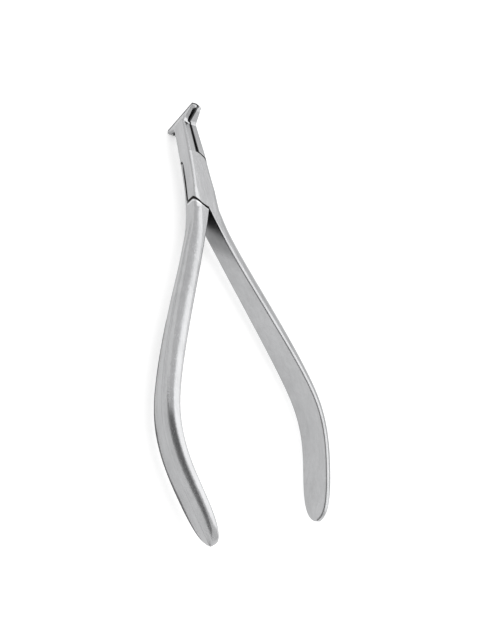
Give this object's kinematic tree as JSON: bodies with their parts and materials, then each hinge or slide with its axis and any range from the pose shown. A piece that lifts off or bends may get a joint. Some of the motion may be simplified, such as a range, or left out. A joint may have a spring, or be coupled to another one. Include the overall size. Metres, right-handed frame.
{
  "type": "orthodontic pliers",
  "caption": "Slim lap-jointed steel pliers with a cross-bar head that hooks a cup over a round nose, and long bowed handles.",
  "frame": {"origin": "where the pivot's axis meets the flat rear face of the joint", "axes": "+Z along the pivot, out of the front face; +Y along the tool towards the head; +X across the jaws, towards the cup"},
  "size_m": [0.0588, 0.139, 0.0163],
  "materials": {
    "front_steel": "satin",
    "rear_steel": "satin",
    "pin_steel": "ground flush"
  },
  "bodies": {
    "front": {"front_half": "front_steel", "pivot_pin": "pin_steel"},
    "rear": {"rear_half": "rear_steel"}
  },
  "joints": [
    {"name": "jaw_hinge", "type": "hinge", "parent": "front", "child": "rear", "pos_m": [0, 0, 0.00375], "axis": [0, 0, -1], "range_deg": [0, 20]}
  ]
}
